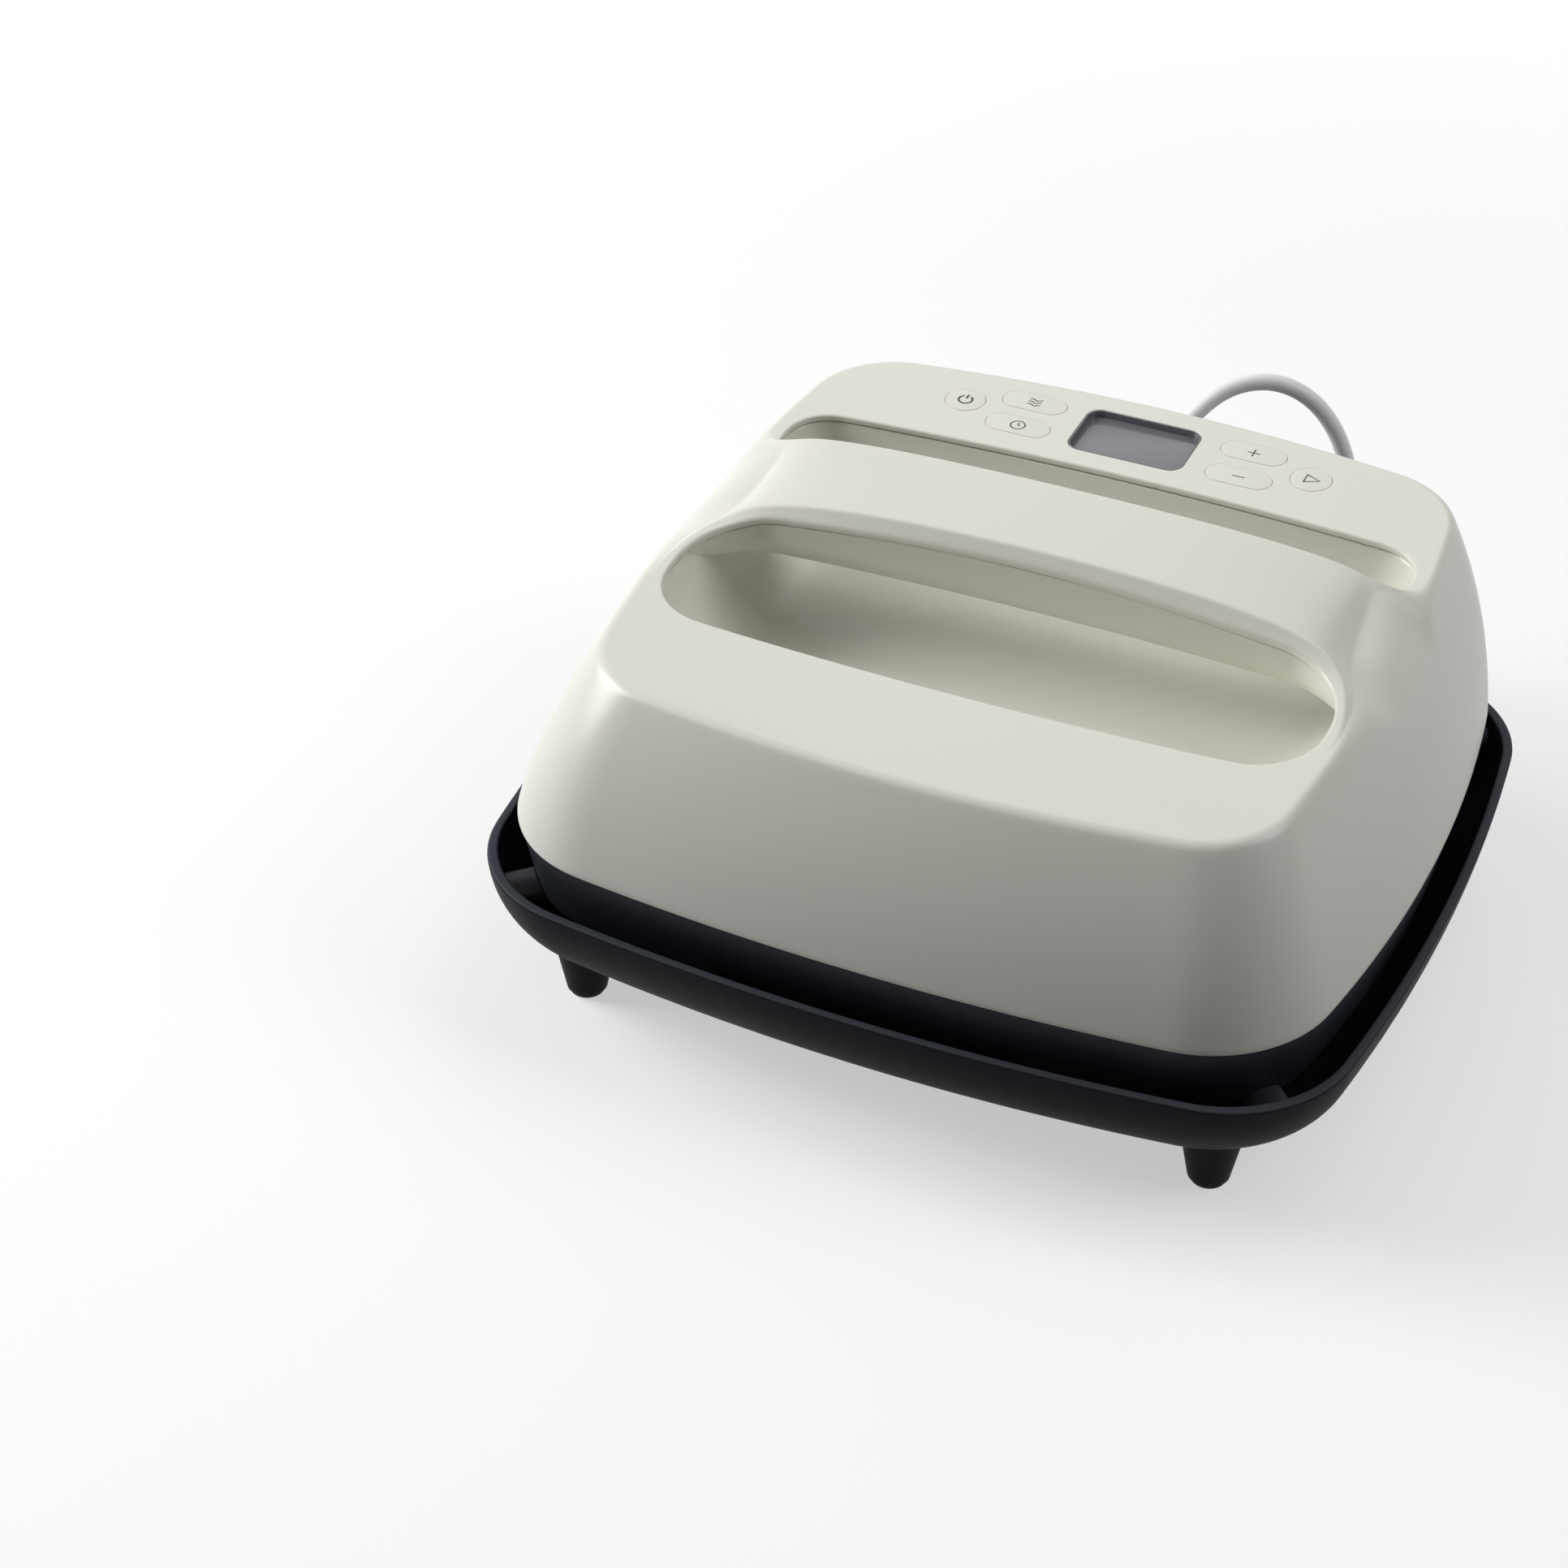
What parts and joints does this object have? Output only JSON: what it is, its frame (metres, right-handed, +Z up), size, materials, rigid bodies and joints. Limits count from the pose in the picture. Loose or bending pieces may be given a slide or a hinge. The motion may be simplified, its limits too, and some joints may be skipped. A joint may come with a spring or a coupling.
{
  "type": "handheld heat press",
  "caption": "Handheld heat press with a hollow arched handle, a display and push buttons on its rear deck, resting on its hot plate in a tray stand with feet; the cord leaves at the rear.",
  "frame": {"origin": "centre of the tray's footprint, on the surface that the foot pads stand on", "axes": "+Z up, -Y towards the user's side with the hand opening, +Y towards the controls and the cord, +X to the user's right"},
  "size_m": [0.3498, 0.4497, 0.1647],
  "materials": {
    "cream_shell": "satin warm cream",
    "dark_skirt": "dark navy black",
    "dark_tray": "dark navy black, fine grain",
    "support_plastic": "black, heat resistant",
    "pad_rubber": "soft black",
    "plate_metal": "coated aluminium",
    "element_steel": "drawn tube",
    "screw_steel": "zinc plated",
    "insulation": "needled fibre",
    "board_green": "lacquered board",
    "component_black": "moulded black",
    "component_blue": "moulded blue",
    "display_dark": "smoked window",
    "cord_white": "light grey jacket",
    "tie_black": "soft band",
    "pin_brass": "nickel plated brass"
  },
  "bodies": {
    "base": {"base_tray": "dark_tray", "tray_foot_front_left": "dark_tray", "tray_foot_front_right": "dark_tray", "tray_foot_rear_left": "dark_tray", "tray_foot_rear_right": "dark_tray", "foot_pad_front_left": "pad_rubber", "foot_pad_front_right": "pad_rubber", "foot_pad_rear_left": "pad_rubber", "foot_pad_rear_right": "pad_rubber", "corner_support_front_left": "support_plastic", "corner_support_front_right": "support_plastic", "corner_support_rear_left": "support_plastic", "corner_support_rear_right": "support_plastic", "power_cord": "cord_white", "cord_coil": "cord_white", "cord_tie": "tie_black", "plug_body": "cord_white", "plug_pins": "pin_brass"},
    "press": {"buzzer": "component_black", "control_board": "board_green", "control_board_screws": "screw_steel", "cord_strain_relief": "cord_white", "display_lens": "display_dark", "display_module": "component_black", "handle_lower_shell": "cream_shell", "heat_plate": "plate_metal", "heat_shield": "plate_metal", "heat_switch": "component_black", "heating_element": "element_steel", "housing_screws": "screw_steel", "insulation_mat": "insulation", "lower_housing": "dark_skirt", "minus_switch": "component_black", "plate_screws": "screw_steel", "plate_standoffs": "screw_steel", "plus_switch": "component_black", "power_board": "board_green", "power_board_screws": "screw_steel", "power_switch": "component_black", "recess_liner": "cream_shell", "relay": "component_black", "start_switch": "component_black", "temperature_sensor": "component_black", "terminal_block": "component_blue", "thermal_fuse": "component_blue", "timer_switch": "component_black", "transformer": "component_blue", "upper_housing": "cream_shell"},
    "power_button_body": {"power_button": "cream_shell"},
    "start_button_body": {"start_button": "cream_shell"},
    "heat_button_body": {"heat_button": "cream_shell"},
    "timer_button_body": {"timer_button": "cream_shell"},
    "plus_button_body": {"plus_button": "cream_shell"},
    "minus_button_body": {"minus_button": "cream_shell"}
  },
  "joints": [
    {"name": "press_lift", "type": "slide", "parent": "base", "child": "press", "axis": [0, 0, 1], "range_m": [0, 0.1], "deforming": ["power_cord"]},
    {"name": "power_button_travel", "type": "slide", "parent": "press", "child": "power_button_body", "axis": [0, 0.0349, -0.9994], "range_m": [0, 0.0006], "stiffness_N_per_m": 1500},
    {"name": "start_button_travel", "type": "slide", "parent": "press", "child": "start_button_body", "axis": [0, 0.0349, -0.9994], "range_m": [0, 0.0006], "stiffness_N_per_m": 1500},
    {"name": "heat_button_travel", "type": "slide", "parent": "press", "child": "heat_button_body", "axis": [0, 0.0349, -0.9994], "range_m": [0, 0.0006], "stiffness_N_per_m": 1500},
    {"name": "timer_button_travel", "type": "slide", "parent": "press", "child": "timer_button_body", "axis": [0, 0.0349, -0.9994], "range_m": [0, 0.0006], "stiffness_N_per_m": 1500},
    {"name": "plus_button_travel", "type": "slide", "parent": "press", "child": "plus_button_body", "axis": [0, 0.0349, -0.9994], "range_m": [0, 0.0006], "stiffness_N_per_m": 1500},
    {"name": "minus_button_travel", "type": "slide", "parent": "press", "child": "minus_button_body", "axis": [0, 0.0349, -0.9994], "range_m": [0, 0.0006], "stiffness_N_per_m": 1500}
  ]
}
